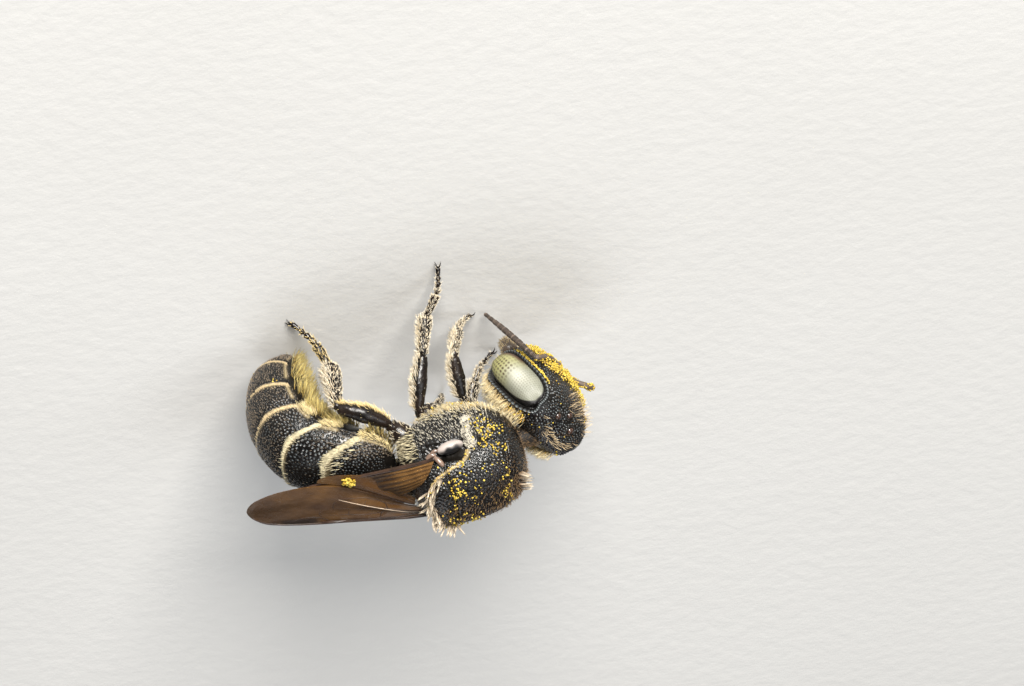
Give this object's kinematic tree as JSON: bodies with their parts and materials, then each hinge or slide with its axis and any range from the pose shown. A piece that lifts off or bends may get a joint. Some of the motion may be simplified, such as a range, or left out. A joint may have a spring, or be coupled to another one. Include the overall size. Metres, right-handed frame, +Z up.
{
  "type": "small resin bee",
  "caption": "Still life-size small resin bee standing with its abdomen curled under, head turned slightly to the left and wings folded back.",
  "frame": {"origin": "middle of the bee's outline on the floor, at the level of its feet", "axes": "+X towards the head, +Y towards the bee's left, +Z up"},
  "size_m": [0.0067, 0.0047, 0.004],
  "materials": {
    "shell": "black coarsely pitted shell with a dull gloss, pale hair along the plate edges",
    "tegula": "smooth polished black shell",
    "leg": "glossy black-brown shell with cream hair",
    "jaw": "dark brown shell, paler towards the tip",
    "antenna": "dull black-brown, ringed into short joints",
    "eye": "pale green-grey with rows of dark spots, finely faceted",
    "wing": "thin clear smoky brown skin with dark veins"
  },
  "bodies": {
    "root": {"head": "shell", "eye_left": "eye", "eye_right": "eye", "mandible_left": "jaw", "mandible_right": "jaw", "antenna_scape_left": "antenna", "antenna_flagellum_left": "antenna", "antenna_scape_right": "antenna", "antenna_flagellum_right": "antenna", "pronotum": "shell", "scutum": "shell", "scutellum": "shell", "mesopleuron_left": "shell", "mesopleuron_right": "shell", "propodeum": "shell", "tegula_left": "tegula", "tegula_right": "tegula", "abdomen_1": "shell", "abdomen_2": "shell", "abdomen_3": "shell", "abdomen_4": "shell", "abdomen_5": "shell", "abdomen_6": "shell", "forewing_left": "wing", "forewing_right": "wing", "hindwing_left": "wing", "hindwing_right": "wing", "front_coxa_left": "leg", "front_femur_left": "leg", "front_tibia_left": "leg", "front_tarsus_left": "leg", "front_coxa_right": "leg", "front_femur_right": "leg", "front_tibia_right": "leg", "front_tarsus_right": "leg", "middle_coxa_left": "leg", "middle_femur_left": "leg", "middle_tibia_left": "leg", "middle_tarsus_left": "leg", "middle_coxa_right": "leg", "middle_femur_right": "leg", "middle_tibia_right": "leg", "middle_tarsus_right": "leg", "hind_coxa_left": "leg", "hind_femur_left": "leg", "hind_tibia_left": "leg", "hind_tarsus_left": "leg", "hind_coxa_right": "leg", "hind_femur_right": "leg", "hind_tibia_right": "leg", "hind_tarsus_right": "leg"}
  },
  "joints": []
}
